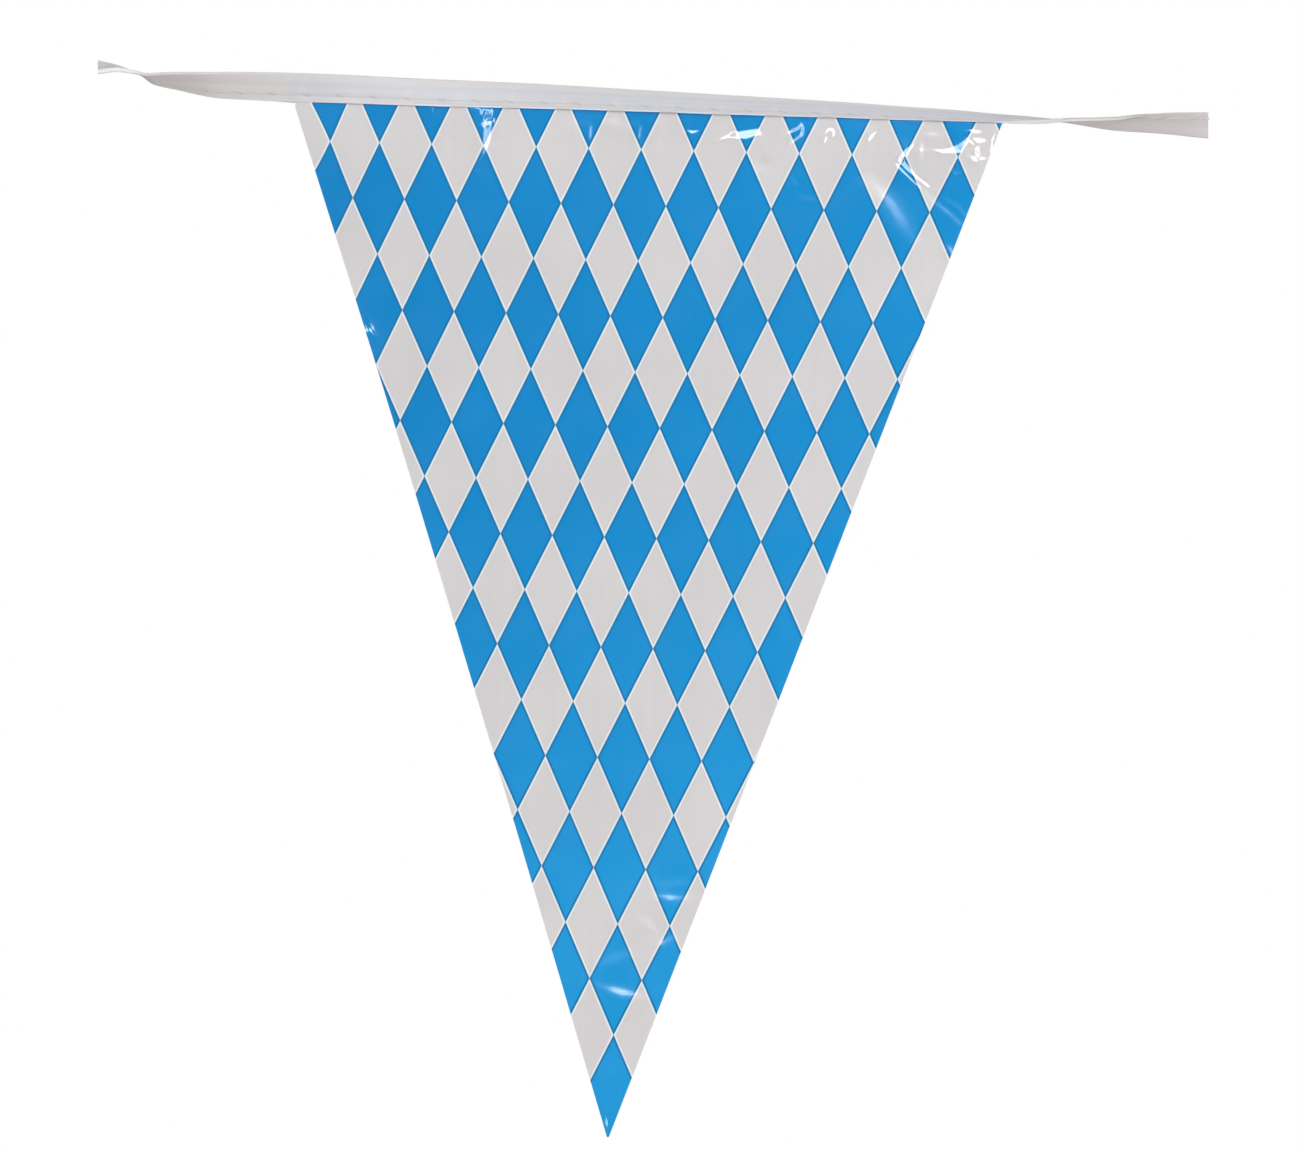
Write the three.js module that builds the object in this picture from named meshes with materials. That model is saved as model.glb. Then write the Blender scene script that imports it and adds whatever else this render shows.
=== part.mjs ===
// One hanging pennant of plastic film bunting on its folded heading tape.
// Millimetres. +X runs along the tape to the right, +Y points away from the viewer, +Z is up.
// The origin is the middle of the tape's top edge, where its fold is.
// The film of both pieces is drawn 1 mm thick, and the printed lozenges are colour only.

import * as THREE from "three";

// The pennant as it is cut, flat: places across are measured from the middle of the tape
const CUT_LEFT = -102.4;
const CUT_RIGHT = 101.6;
const CUT_TIP = -2.3;
const CUT_HEIGHT = 295.6;
const TIP_WIDTH = 1;
const FILM = 1;

// The heading tape, folded once along its length round the pennant's top edge
const TAPE_WIDTH = 8;
const TAPE_END = 156.5;
const LEAF = 1;
const BACK_LEAF_EXTRA = 0.5;
const CLEARANCE = 0.3;
const EMPTY_FOLD_GAP = 0.4;
const FOLD_CLOSES_FROM = 104;
const FOLD_CLOSED_AT = 116;

// How the pennant leaves the tape: its hidden margin, then a short bend to hang down
const MARGIN = 6.2;
const BEND_LENGTH = 3;
const BEND_START = MARGIN + BACK_LEAF_EXTRA;
const HANGS_FROM = BEND_START + BEND_LENGTH;

// The upper left side of the pennant curls away from the viewer
const CURL = { angle: 10, width: 40, middleDown: 60, spread: 60 };

// How the tape turns about its own length, and how high its mid-line runs over the pennant's top.
// At angle 0 its open edges point down, and a rising angle swings them towards the viewer.
const HEADING = [
  { x: -156.5, angle: -131, lift: 7.7 },
  { x: -152, angle: -115, lift: 7.65 },
  { x: -145, angle: -98, lift: 6.5 },
  { x: -140.5, angle: -75, lift: 5.3 },
  { x: -133, angle: -58, lift: 4.7 },
  { x: -121.5, angle: -32, lift: 3.9 },
  { x: -110, angle: -17, lift: 3.85 },
  { x: -99, angle: -7, lift: 3.8 },
  { x: -76, angle: 10, lift: 3.6 },
  { x: -42, angle: 21, lift: 3.3 },
  { x: -8, angle: 34, lift: 2.75 },
  { x: 25, angle: 43, lift: 2.2 },
  { x: 59, angle: 53, lift: 1.65 },
  { x: 82, angle: 61, lift: 1.1 },
  { x: 99, angle: 70, lift: 0.55 },
  { x: 111, angle: 83, lift: 0.4 },
  { x: 121, angle: 99, lift: 0.3 },
  { x: 132, angle: 116, lift: 0.2 },
  { x: 143, angle: 128, lift: 0.3 },
  { x: 156.5, angle: 144, lift: 0.3 },
];

// The pennant's slow wave from top to tip: how far it leans towards the viewer going down
const LEAN = [
  { down: 6, angle: -5 },
  { down: 80, angle: -5 },
  { down: 130, angle: -1.5 },
  { down: 190, angle: 1.5 },
  { down: 230, angle: 4.5 },
  { down: 295.6, angle: 4 },
];

// How finely the two sheets are divided
const COLUMNS = 24;
const ROW_STEPS = [
  { from: 0, rows: 2 },
  { from: BEND_START, rows: 5 },
  { from: HANGS_FROM, rows: 6 },
  { from: 40, rows: 21 },
];
const TAPE_SECTIONS = 84;
const CREASE_STEPS = 6;
const LEAN_STEP = 1;

// A smooth curve through the rows of a table that never overshoots them
function tableCurve(rows, key, value) {
  const at = rows.map((row) => row[key]);
  const height = rows.map((row) => row[value]);
  const rise = at.slice(1).map((end, i) => (height[i + 1] - height[i]) / (end - at[i]));
  const slope = at.map((_, i) => {
    const before = rise[Math.max(i - 1, 0)];
    const after = rise[Math.min(i, rise.length - 1)];
    return before * after > 0 ? (2 * before * after) / (before + after) : 0;
  });
  return (place) => {
    const x = THREE.MathUtils.clamp(place, at[0], at[at.length - 1]);
    let i = 0;
    while (i < rise.length - 1 && x > at[i + 1]) i += 1;
    const span = at[i + 1] - at[i];
    const u = (x - at[i]) / span;
    const startWeight = (1 + 2 * u) * (1 - u) ** 2;
    const endWeight = u * u * (3 - 2 * u);
    return (
      height[i] * startWeight +
      height[i + 1] * endWeight +
      span * slope[i] * u * (1 - u) ** 2 -
      span * slope[i + 1] * u * u * (1 - u)
    );
  };
}

const headingDegrees = tableCurve(HEADING, "x", "angle");
const headingLift = tableCurve(HEADING, "x", "lift");
const leanDegrees = tableCurve(LEAN, "down", "angle");

// The direction across the folded tape at x, from its fold to its open edges, and its front normal
function headingFrame(x) {
  const angle = THREE.MathUtils.degToRad(headingDegrees(x));
  return {
    angle,
    middle: new THREE.Vector3(x, 0, headingLift(x)),
    toOpen: new THREE.Vector3(0, -Math.sin(angle), -Math.cos(angle)),
    toFront: new THREE.Vector3(0, -Math.cos(angle), Math.sin(angle)),
  };
}

function headingPoint(x, towardsOpen, towardsFront) {
  const frame = headingFrame(x);
  return frame.middle.addScaledVector(frame.toOpen, towardsOpen).addScaledVector(frame.toFront, towardsFront);
}

// Depth and drop of the slow wave, added up from where the pennant hangs free to its tip
const wave = [{ depth: 0, drop: 0 }];
for (let down = HANGS_FROM; down < CUT_HEIGHT + LEAN_STEP; down += LEAN_STEP) {
  const angle = THREE.MathUtils.degToRad(leanDegrees(down + LEAN_STEP / 2));
  const last = wave[wave.length - 1];
  wave.push({
    depth: last.depth - LEAN_STEP * Math.sin(angle),
    drop: last.drop - LEAN_STEP * Math.cos(angle),
  });
}

function waveAt(hanging) {
  const place = hanging / LEAN_STEP;
  const i = Math.floor(place);
  const share = place - i;
  return {
    depth: THREE.MathUtils.lerp(wave[i].depth, wave[i + 1].depth, share),
    drop: THREE.MathUtils.lerp(wave[i].drop, wave[i + 1].drop, share),
  };
}

function cutLeftEdge(down) {
  return THREE.MathUtils.lerp(CUT_LEFT, CUT_TIP - TIP_WIDTH / 2, down / CUT_HEIGHT);
}

function cutRightEdge(down) {
  return THREE.MathUtils.lerp(CUT_RIGHT, CUT_TIP + TIP_WIDTH / 2, down / CUT_HEIGHT);
}

// Middle of the film at a place on the flat cut: inside the tape, round the bend, then hanging
function filmMiddle(across, down) {
  const straight = Math.min(down, BEND_START);
  const point = headingPoint(across, TAPE_WIDTH / 2 - MARGIN + straight, 0);
  if (down <= BEND_START) return point;

  const { angle } = headingFrame(across);
  const turn = Math.abs(angle) < 0.001 ? 0.001 : angle;
  const bent = Math.min((down - BEND_START) / BEND_LENGTH, 1);
  const left = turn * (1 - bent);
  point.y -= (BEND_LENGTH * (Math.cos(left) - Math.cos(turn))) / turn;
  point.z -= (BEND_LENGTH * (Math.sin(turn) - Math.sin(left))) / turn;

  const hanging = Math.max(down - HANGS_FROM, 0);
  const slow = waveAt(hanging);
  point.y += slow.depth;
  point.z += slow.drop;

  const fromLeft = across - cutLeftEdge(down);
  const inCurl = Math.max(1 - fromLeft / CURL.width, 0);
  const nearMiddle = Math.exp(-(((down - CURL.middleDown) / CURL.spread) ** 2));
  const fade = nearMiddle * Math.min(hanging / CURL.middleDown, 1);
  const tilt = THREE.MathUtils.degToRad(CURL.angle) * fade;
  point.y += (tilt * CURL.width * inCurl ** 2) / 2;
  point.x += (tilt ** 2 * CURL.width * inCurl ** 3) / 6;
  return point;
}

// Front normal of the film, from its neighbours on the cut
function filmNormal(across, down) {
  const step = 0.05;
  const alongCut = filmMiddle(across + step, down).sub(filmMiddle(across - step, down));
  const downCut = filmMiddle(across, down + step).sub(filmMiddle(across, down - step));
  return downCut.cross(alongCut).normalize();
}

// Closes two facing grids of points and the wall between their borders into one body
function closedSheet(front, back) {
  const rows = front.length;
  const columns = front[0].length;
  const positions = [...front.flat(), ...back.flat()].flatMap((point) => [point.x, point.y, point.z]);
  const frontIndex = (row, column) => row * columns + column;
  const backIndex = (row, column) => (rows + row) * columns + column;
  const triangles = [];
  const addQuad = (a, b, c, d) => triangles.push(a, b, c, a, c, d);
  for (let r = 0; r < rows - 1; r += 1) {
    for (let c = 0; c < columns - 1; c += 1) {
      addQuad(frontIndex(r, c), frontIndex(r + 1, c), frontIndex(r + 1, c + 1), frontIndex(r, c + 1));
      addQuad(backIndex(r, c), backIndex(r, c + 1), backIndex(r + 1, c + 1), backIndex(r + 1, c));
    }
    addQuad(frontIndex(r, 0), backIndex(r, 0), backIndex(r + 1, 0), frontIndex(r + 1, 0));
    const last = columns - 1;
    addQuad(frontIndex(r, last), frontIndex(r + 1, last), backIndex(r + 1, last), backIndex(r, last));
  }
  for (let c = 0; c < columns - 1; c += 1) {
    addQuad(frontIndex(0, c), frontIndex(0, c + 1), backIndex(0, c + 1), backIndex(0, c));
    const last = rows - 1;
    addQuad(frontIndex(last, c), backIndex(last, c), backIndex(last, c + 1), frontIndex(last, c + 1));
  }
  const geometry = new THREE.BufferGeometry();
  geometry.setAttribute("position", new THREE.Float32BufferAttribute(positions, 3));
  geometry.setIndex(triangles);
  geometry.computeVertexNormals();
  return geometry;
}

// Places down the cut where a row of points lies, closer together in the tape and its bend
function rowPlaces() {
  const places = [];
  ROW_STEPS.forEach(({ from, rows }, i) => {
    const to = i + 1 < ROW_STEPS.length ? ROW_STEPS[i + 1].from : CUT_HEIGHT;
    for (let row = 0; row < rows; row += 1) places.push(THREE.MathUtils.lerp(from, to, row / rows));
  });
  places.push(CUT_HEIGHT);
  return places;
}

function pennantGeometry() {
  const side = (offset) =>
    rowPlaces().map((down) =>
      Array.from({ length: COLUMNS + 1 }, (_, column) => {
        const across = THREE.MathUtils.lerp(cutLeftEdge(down), cutRightEdge(down), column / COLUMNS);
        return filmMiddle(across, down).addScaledVector(filmNormal(across, down), offset);
      })
    );
  return closedSheet(side(FILM / 2), side(-FILM / 2));
}

// Half the space between the tape's leaves: open round the pennant, nearly closed at the free ends
function foldHalfGap(x) {
  const round = FILM / 2 + CLEARANCE;
  const closing = THREE.MathUtils.smoothstep(Math.abs(x), FOLD_CLOSES_FROM, FOLD_CLOSED_AT);
  return THREE.MathUtils.lerp(round, EMPTY_FOLD_GAP / 2, closing);
}

// One side of the folded tape's section at x: down the front leaf, round the fold, up the back leaf
function foldedSection(x, radius) {
  const foldCentre = -TAPE_WIDTH / 2 + foldHalfGap(x) + LEAF;
  const points = [headingPoint(x, TAPE_WIDTH / 2, radius)];
  for (let step = 0; step <= CREASE_STEPS; step += 1) {
    const turn = (Math.PI * step) / CREASE_STEPS;
    points.push(headingPoint(x, foldCentre - radius * Math.sin(turn), radius * Math.cos(turn)));
  }
  points.push(headingPoint(x, TAPE_WIDTH / 2 + BACK_LEAF_EXTRA, -radius));
  return points;
}

function tapeGeometry() {
  const places = Array.from({ length: TAPE_SECTIONS + 1 }, (_, i) =>
    THREE.MathUtils.lerp(-TAPE_END, TAPE_END, i / TAPE_SECTIONS)
  );
  const outside = places.map((x) => foldedSection(x, foldHalfGap(x) + LEAF));
  const inside = places.map((x) => foldedSection(x, foldHalfGap(x)));
  return closedSheet(outside, inside);
}

function pieceOf(name, geometry, color, roughness) {
  const material = new THREE.MeshStandardMaterial({ color, roughness, metalness: 0 });
  const mesh = new THREE.Mesh(geometry, material);
  mesh.name = name;
  return mesh;
}

const bunting = new THREE.Group();
bunting.name = "pennant_on_heading_tape";
bunting.add(pieceOf("pennant", pennantGeometry(), 0x2289cc, 0.2));
bunting.add(pieceOf("heading_tape", tapeGeometry(), 0xd2d1d0, 0.35));

// The middle of the tape's fold becomes the origin
bunting.position.copy(headingPoint(0, -TAPE_WIDTH / 2, 0)).negate();

export default bunting;
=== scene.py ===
# One hanging pennant of plastic film bunting on its folded and sewn heading tape.
# Sizes are millimetres, in the frame of the solids, until a mesh is made: Blender works in metres.
# +X runs along the tape to the right, +Y points away from the viewer, +Z is up.

import math

import bpy
import numpy as np
from mathutils import Matrix, Vector


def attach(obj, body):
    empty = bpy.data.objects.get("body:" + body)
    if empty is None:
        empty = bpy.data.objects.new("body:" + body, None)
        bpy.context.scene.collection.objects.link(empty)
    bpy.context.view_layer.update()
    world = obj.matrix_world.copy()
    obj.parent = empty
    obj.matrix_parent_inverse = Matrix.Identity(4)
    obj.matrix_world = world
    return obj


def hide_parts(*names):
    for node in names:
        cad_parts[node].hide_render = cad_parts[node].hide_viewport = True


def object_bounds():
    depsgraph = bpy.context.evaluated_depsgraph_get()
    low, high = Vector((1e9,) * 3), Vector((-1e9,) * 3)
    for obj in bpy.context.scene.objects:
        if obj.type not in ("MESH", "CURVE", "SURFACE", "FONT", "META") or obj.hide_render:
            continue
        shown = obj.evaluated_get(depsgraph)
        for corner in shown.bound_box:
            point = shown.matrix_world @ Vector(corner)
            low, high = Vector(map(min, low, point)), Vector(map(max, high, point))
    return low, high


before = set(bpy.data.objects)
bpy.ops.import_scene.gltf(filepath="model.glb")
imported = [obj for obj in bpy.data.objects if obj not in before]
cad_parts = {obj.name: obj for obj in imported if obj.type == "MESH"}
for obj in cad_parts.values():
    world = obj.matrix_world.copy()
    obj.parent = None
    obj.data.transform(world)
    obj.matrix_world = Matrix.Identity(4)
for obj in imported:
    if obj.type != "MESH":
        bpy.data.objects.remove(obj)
cad_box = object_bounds()

MM = 0.001


def table(names, rows):
    """The rows of a table, each a dictionary by the names of its columns."""
    return [dict(zip(names.split(), row)) for row in rows]


# The pennant as it is cut, flat: places across are measured from the middle of the tape
CUT_LEFT = -102.4
CUT_RIGHT = 101.6
CUT_TIP = -2.3
CUT_HEIGHT = 295.6
TIP_WIDTH = 0.5
FILM = 0.12

# The heading tape, folded once along its length round the pennant's top edge
TAPE_WIDTH = 8
TAPE_END = 156.5
TAPE_FILM = 0.15
BACK_LEAF_EXTRA = 0.5
FOLD_RADIUS = 0.36

# Places on the folded tape, from its mid-line to its open edges: its lips and the middle of its fold
LIP = TAPE_WIDTH / 2
FOLD_CENTRE = -LIP + FOLD_RADIUS

# How the pennant leaves the tape. In the solids its hidden margin ends in a bend outside the tape.
# The real film droops already between the leaves, just under the seam, and takes the back leaf along.
MARGIN = 6.2
BEND_LENGTH = 3
BEND_START = MARGIN + BACK_LEAF_EXTRA
HANGS_FROM = BEND_START + BEND_LENGTH
DROOP_FROM = 2.6
DROOP_LENGTH = 1.2
DROOP_FULL_TO = 102
DROOP_NONE_FROM = 105

# The upper left side of the pennant curls away from the viewer
CURL = {"angle": 6, "width": 40, "middle_down": 60, "spread": 60}
CORNER_CUT = {"wide": 0.7, "to_down": 7.8}

# How the tape turns about its own length, and how high its mid-line runs over the pennant's top.
# At angle 0 its open edges point down, and a rising angle swings them towards the viewer.
HEADING = table("x angle lift", [
    (-156.5, -131, 7.7),
    (-152, -115, 7.65),
    (-145, -98, 6.5),
    (-140.5, -75, 5.3),
    (-133, -58, 4.7),
    (-121.5, -32, 3.9),
    (-110, -17, 3.85),
    (-99, -7, 3.8),
    (-76, 10, 3.6),
    (-42, 21, 3.3),
    (-8, 34, 2.75),
    (25, 43, 2.2),
    (59, 53, 1.65),
    (82, 61, 1.1),
    (99, 70, 0.55),
    (111, 83, 0.4),
    (121, 99, 0.3),
    (132, 116, 0.2),
    (143, 128, 0.3),
    (156.5, 144, 0.3),
])

# How the real tape differs a little from the solid: how much lower it lies, how much further it is
# turned, how far its back leaf passes its front leaf, how wide the pressed face of its fold is, and
# how much of its front lip is curled over the opening
TAPE_FITS = table("x lower turned past pressed curled", [
    (-156.5, -0.3, 9, 0, 0.5, 0),
    (-151.4, -0.2, 6, 0, 0.5, 0),
    (-148, -0.1, 6, 0, 0.4, 0),
    (-145, 0.05, 5, 0, 0.25, 0),
    (-141, 0.4, 0, 0, 0.05, 0),
    (-136, 0.25, 0, 0, 0, 0),
    (-112, 0.15, 0, 0, 0, 0),
    (-90, 0.12, 0, 0.5, 0, 0),
    (-60, 0.3, 0, 0.5, 0, 0),
    (-20, 0.17, 0, 0.5, 0, 0),
    (20, 0.28, 0, 0.5, 0, 0),
    (56, 0.35, 0, 0.5, 0, 0),
    (72, 0.48, 0, 0.5, 0, 0),
    (88, 0.33, 0, 0.5, 0, 0),
    (96, 0.33, 0, 0.3, 0, 0.1),
    (101, 0.25, 0, -1.1, 0, 0.45),
    (107, 0.1, 0, -1.1, 0, 0.85),
    (112, 0, 0, -0.9, 0, 1),
    (117, -0.25, 0, -0.6, 0, 1),
    (130, 0.05, 0, -0.5, 0, 1),
    (137, -0.15, 2, -0.3, 0, 0.6),
    (146, -0.05, 0, 0, 0, 0),
    (156.5, 0.2, 2, 0, 0, 0),
])

# The picture's sides cut the tape upright: how far that slants the ends, by their depth and height
END_SLANTS = [
    {"x": -156.5, "by_depth": -0.18, "by_height": -0.03},
    {"x": 156.5, "by_depth": 0.08, "by_height": -0.03},
]
END_SLANT_LENGTH = 12

# The pennant's slow wave from top to tip: how far it leans towards the viewer going down
LEAN = table("down angle", [
    (6, -5),
    (80, -5),
    (130, -1.5),
    (190, 1.5),
    (230, 4.5),
    (295.6, 4),
])
LEAN_STEP = 1

# The seam: one row of stitches through both leaves and the margin, and the thread that shows
SEAM_FROM_MIDDLE = 2
STITCH = 9.6
STITCH_AT = 0.1
THREAD_RADIUS = 0.1

# Half the space between the tape's leaves, from the fold to the lips, pinched at the seam
LEAF_GAPS = table("place gap", [
    (-4, 0.36),
    (-2.6, 0.36),
    (-0.6, 0.34),
    (1.1, 0.28),
    (2, 0.19),
    (2.9, 0.24),
    (4.5, 0.34),
])

# The printed lozenges: the distance between their middles, and one point where four of them meet
LOZENGE_WIDTH = 14.777
LOZENGE_HEIGHT = 31.225
MEETING_ACROSS = -1.7
MEETING_DOWN = 141.96

# Where the print is drawn out of its even grid: so far to the right, round this place
PRINT_SHIFTS = [
    {"across": -91, "down": 17, "wide": 7, "high": 15, "right": 0.75},
]

# How finely the pennant is divided: its columns by their place along the top edge, and its rows going
# down, which from some places on keep only every second or fourth column
COLUMN_STEPS = table("start step", [
    (CUT_LEFT, 0.1),
    (-98.4, 1.5),
    (-63.8, 0.35),
    (-59.6, 1.4),
    (-53, 0.45),
    (-50, 0.32),
    (-44.5, 1.3),
    (-24, 0.6),
    (-18.4, 0.42),
    (-15, 0.9),
    (-3.4, 0.42),
    (-0.4, 0.8),
    (11.2, 0.4),
    (15.6, 0.8),
    (20.4, 0.36),
    (33.2, 0.8),
    (40.6, 0.3),
    (46, 0.8),
    (50.8, 0.32),
    (55.6, 0.8),
    (64, 0.34),
    (68.4, 0.6),
    (73.6, 0.26),
    (87.4, 0.3),
])
ROW_STEPS = table("start step every", [
    (0, 1.55, 1),
    (MARGIN, 0.29, 1),
    (26, 0.7, 2),
    (47, 1.4, 2),
    (60, 2, 4),
    (67.6, 0.34, 4),
    (71.8, 1.4, 4),
    (76, 5, 4),
    (218, 0.85, 4),
    (262, 3.4, 4),
    (289.6, 0.5, 4),
])
COARSEST = 4


def column(rows, name):
    """One named column of a table, as an array."""
    return np.array([row[name] for row in rows], float)


def table_curve(rows, key, value):
    """A smooth curve through the rows of a table that never overshoots them."""
    at, height = column(rows, key), column(rows, value)
    rise = np.diff(height) / np.diff(at)
    before = np.concatenate([rise[:1], rise])
    after = np.concatenate([rise, rise[-1:]])
    same_way = before * after > 0
    slope = np.where(same_way, 2 * before * after / np.where(same_way, before + after, 1), 0)

    def curve(place):
        x = np.clip(place, at[0], at[-1])
        i = np.clip(np.searchsorted(at, x) - 1, 0, len(rise) - 1)
        span = at[i + 1] - at[i]
        u = (x - at[i]) / span
        ends = height[i] * (1 + 2 * u) * (1 - u) ** 2 + height[i + 1] * u * u * (3 - 2 * u)
        return ends + span * u * (1 - u) * (slope[i] * (1 - u) - slope[i + 1] * u)

    return curve


def rotated(right, below, turn):
    """A place measured along a direction that falls to the right by so many radians, and over it."""
    cos, sin = math.cos(turn), math.sin(turn)
    return right * cos + below * sin, below * cos - right * sin


def smooth_step(value, low, high):
    u = np.clip((value - low) / (high - low), 0, 1)
    return u * u * (3 - 2 * u)


heading_degrees = table_curve(HEADING, "x", "angle")
heading_lift = table_curve(HEADING, "x", "lift")
lean_degrees = table_curve(LEAN, "down", "angle")
leaf_gap = table_curve(LEAF_GAPS, "place", "gap")
lies_lower = table_curve(TAPE_FITS, "x", "lower")
turned_further = table_curve(TAPE_FITS, "x", "turned")
back_leaf_past = table_curve(TAPE_FITS, "x", "past")
pressed_width = table_curve(TAPE_FITS, "x", "pressed")
lip_curl = table_curve(TAPE_FITS, "x", "curled")


def turned_point(x, angle, lift, to_open, to_front):
    """A point so far from the tape's mid-line to its open edges, and so far to its front."""
    y = -np.sin(angle) * to_open - np.cos(angle) * to_front
    z = lift - np.cos(angle) * to_open + np.sin(angle) * to_front
    return np.stack(np.broadcast_arrays(x, y, z), -1)


# The middle of the tape's fold is the origin
FOLD_TOP = turned_point(0, np.radians(heading_degrees(0)), heading_lift(0), -LIP, 0)


def solid_point(x, to_open, to_front):
    return turned_point(x, np.radians(heading_degrees(x)), heading_lift(x), to_open, to_front) - FOLD_TOP


def tape_angle(x):
    return np.radians(heading_degrees(x) + turned_further(x))


def tape_point(x, to_open, to_front):
    return turned_point(x, tape_angle(x), heading_lift(x) - lies_lower(x), to_open, to_front) - FOLD_TOP


# Depth and drop of the slow wave, added up from where the pennant hangs free to its tip
wave_places = np.arange(HANGS_FROM, CUT_HEIGHT + LEAN_STEP, LEAN_STEP)
wave_angles = np.radians(lean_degrees(wave_places + LEAN_STEP / 2))
wave_depth = np.concatenate([[0], -LEAN_STEP * np.cumsum(np.sin(wave_angles))])
wave_drop = np.concatenate([[0], -LEAN_STEP * np.cumsum(np.cos(wave_angles))])
wave_hanging = LEAN_STEP * np.arange(len(wave_depth))


def cut_left_edge(down):
    return CUT_LEFT + (CUT_TIP - TIP_WIDTH / 2 - CUT_LEFT) * down / CUT_HEIGHT


def cut_right_edge(down):
    return CUT_RIGHT + (CUT_TIP + TIP_WIDTH / 2 - CUT_RIGHT) * down / CUT_HEIGHT


FIRST_LEAN = math.radians(LEAN[0]["angle"])
LEAST_TURN = 0.001


def never_zero(turn):
    """The turn in radians, or a tiny one, because a bend's radius is its length over its turn."""
    return np.where(np.abs(turn) < LEAST_TURN, LEAST_TURN, turn)


def drooped(x, past, to_front, fading=0):
    """A point that lies past the start of the droop by so much, turned down as the hanging film is."""
    angle = tape_angle(x)
    turn = never_zero((FIRST_LEAN - angle) * (1 - fading))
    now = angle + turn * np.clip(past / DROOP_LENGTH, 0, 1)
    straight = np.maximum(past - DROOP_LENGTH, 0)
    point = tape_point(x, DROOP_FROM + np.minimum(past, 0), 0)
    point[..., 1] += DROOP_LENGTH * (np.cos(now) - np.cos(angle)) / turn
    point[..., 2] -= DROOP_LENGTH * (np.sin(now) - np.sin(angle)) / turn
    point[..., 1] -= np.sin(now) * straight + np.cos(now) * to_front
    point[..., 2] -= np.cos(now) * straight - np.sin(now) * to_front
    return point


def droop_start(across):
    """Where down the cut the film starts to droop, so that below it hangs where the solid does."""
    angle = never_zero(np.radians(heading_degrees(across)))
    solid = solid_point(across, LIP + BACK_LEAF_EXTRA, 0)[..., 2]
    solid = solid - BEND_LENGTH * np.sin(angle) / angle
    drop = drooped(across, DROOP_LENGTH, 0)[..., 2] - solid
    return HANGS_FROM - DROOP_LENGTH - drop / math.cos(FIRST_LEAN)


def film_middle(across, down):
    """Middle of the film at a place on the flat cut: inside the tape, drooping, then hanging."""
    across, down = np.broadcast_arrays(np.asarray(across, float), np.asarray(down, float))
    point = drooped(across, np.minimum(down, HANGS_FROM) - droop_start(across), 0)

    hanging = np.maximum(down - HANGS_FROM, 0)
    point[..., 1] += np.interp(hanging, wave_hanging, wave_depth)
    point[..., 2] += np.interp(hanging, wave_hanging, wave_drop)

    in_curl = np.maximum(1 - (across - cut_left_edge(down)) / CURL["width"], 0)
    near_middle = np.exp(-(((down - CURL["middle_down"]) / CURL["spread"]) ** 2))
    fade = near_middle * np.minimum(hanging / CURL["middle_down"], 1)
    tilt = np.radians(CURL["angle"]) * fade
    point[..., 1] += tilt * CURL["width"] * in_curl**2 / 2
    point[..., 0] += tilt**2 * CURL["width"] * in_curl**3 / 6
    return point


def film_normal(across, down):
    """Front normal of the film, from its neighbours on the cut."""
    step = 0.05
    along = film_middle(across + step, down) - film_middle(across - step, down)
    down_cut = film_middle(across, down + step) - film_middle(across, down - step)
    normal = np.cross(down_cut, along)
    return normal / np.linalg.norm(normal, axis=-1, keepdims=True)


# Soft swellings of the film. turn is the long axis, in degrees from level, falling to the right, and
# height is towards the viewer. Those with a wall are flat-topped, with a steep rim so wide.
SWELLINGS = table("across down long short turn height wall", [
    (-29.9, 28, 2, 0.9, 88, 0.24),
    (-21, 11.8, 3, 1.7, 86, 0.42),
    (-10.1, 10.7, 2.4, 1.6, 20, 0.4),
    (32.6, 20.1, 2.2, 2, 0, -0.5),
    (51.1, 11.2, 1.6, 1.45, 100, 0.31, 0.8),
    (90.4, 17.5, 1, 0.8, 20, 0.28),
    (85, 43.6, 1.8, 1.4, 65, 0.5),
])


def strip(line, half, slope, rim=0, soft=False):
    """A steep band: its centre line, and half its width and its slope at each point, or one for all."""
    return {"line": line, "half": half, "slope": slope, "rim": rim, "soft": soft}


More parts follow.
